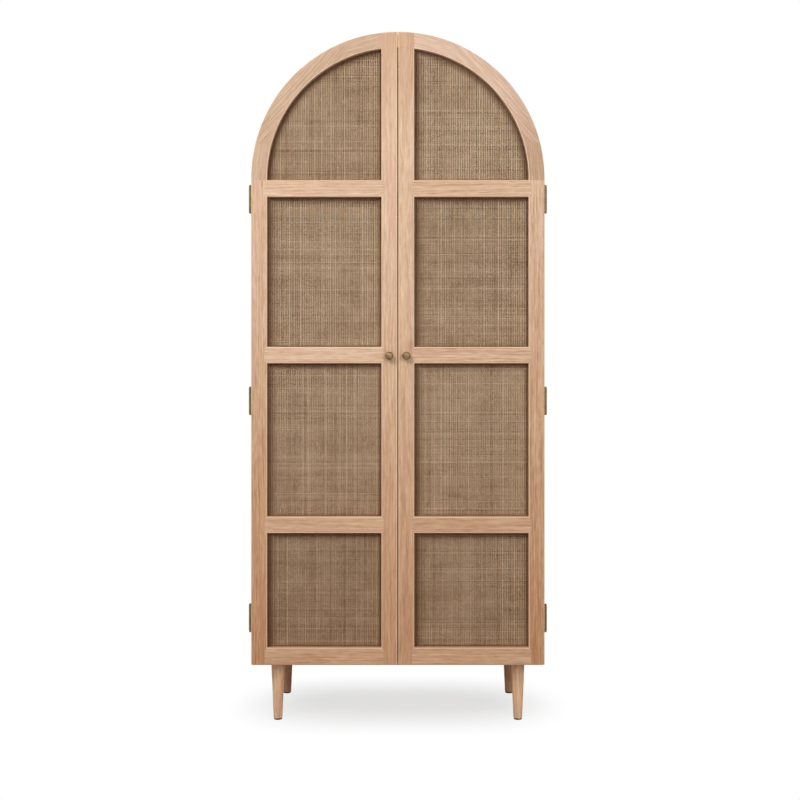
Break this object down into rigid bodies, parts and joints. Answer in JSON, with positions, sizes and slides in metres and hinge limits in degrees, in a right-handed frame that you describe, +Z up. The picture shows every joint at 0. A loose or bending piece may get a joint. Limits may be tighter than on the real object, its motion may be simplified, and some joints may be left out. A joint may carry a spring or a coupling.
{
  "type": "wardrobe",
  "caption": "Tall arched wardrobe on tapered legs with a pair of framed woven cane doors on butt hinges, a clothes rail, a fixed hat shelf and a loose lower shelf.",
  "frame": {"origin": "on the floor, under the middle of the piece's bounding box", "axes": "+Z up, -Y out of the doors, +X to the right seen from the front"},
  "size_m": [1.0386, 0.476, 2.4],
  "materials": {
    "oak": "bleached oak, matt lacquer",
    "back_board": "oak veneered board",
    "cane": "woven grey-brown cane",
    "antique_brass": "antique brass",
    "satin_steel": "satin",
    "zinc_steel": "zinc plated",
    "brown_plastic": "matt moulded"
  },
  "bodies": {
    "case": {"arched_top": "oak", "back_panel": "back_board", "clothes_rail": "satin_steel", "corner_blocks": "oak", "crown_tongue": "oak", "door_catches": "brown_plastic", "floor_panel": "oak", "frame_bottom_rail": "oak", "front_legs": "oak", "left_case_hinge_leaves": "antique_brass", "left_frame_arch": "oak", "left_frame_stile": "oak", "left_hinge_pins": "antique_brass", "left_side_panel": "oak", "leg_bolts": "zinc_steel", "leg_glides": "brown_plastic", "rail_sockets": "satin_steel", "rear_legs": "oak", "right_case_hinge_leaves": "antique_brass", "right_frame_arch": "oak", "right_frame_stile": "oak", "right_hinge_pins": "antique_brass", "right_side_panel": "oak", "shelf_pins": "zinc_steel", "top_shelf": "oak", "wall_rail": "oak"},
    "left_door": {"left_door_arch_cane": "cane", "left_door_arch_rail": "oak", "left_door_bottom_rail": "oak", "left_door_cane_beads": "oak", "left_door_hinge_leaves": "antique_brass", "left_door_knob": "antique_brass", "left_door_knob_screw": "zinc_steel", "left_door_lower_cane": "cane", "left_door_lower_rail": "oak", "left_door_meeting_stile": "oak", "left_door_middle_cane": "cane", "left_door_middle_rail": "oak", "left_door_outer_stile": "oak", "left_door_strike_plate": "zinc_steel", "left_door_upper_cane": "cane", "left_door_upper_rail": "oak"},
    "right_door": {"right_door_arch_cane": "cane", "right_door_arch_rail": "oak", "right_door_bottom_rail": "oak", "right_door_cane_beads": "oak", "right_door_hinge_leaves": "antique_brass", "right_door_knob": "antique_brass", "right_door_knob_screw": "zinc_steel", "right_door_lower_cane": "cane", "right_door_lower_rail": "oak", "right_door_meeting_stile": "oak", "right_door_middle_cane": "cane", "right_door_middle_rail": "oak", "right_door_outer_stile": "oak", "right_door_strike_plate": "zinc_steel", "right_door_upper_cane": "cane", "right_door_upper_rail": "oak"},
    "shelf": {"adjustable_shelf": "oak"}
  },
  "joints": [
    {"name": "left_door_hinge", "type": "hinge", "parent": "case", "child": "left_door", "pos_m": [-0.5138, -0.185, 1.121], "axis": [0, 0, -1], "range_deg": [0, 200]},
    {"name": "right_door_hinge", "type": "hinge", "parent": "case", "child": "right_door", "pos_m": [0.5138, -0.185, 1.121], "axis": [0, 0, 1], "range_deg": [0, 200]},
    {"name": "shelf_lift", "type": "slide", "parent": "case", "child": "shelf", "axis": [0, 0, 1], "range_m": [0, 0.064]}
  ]
}
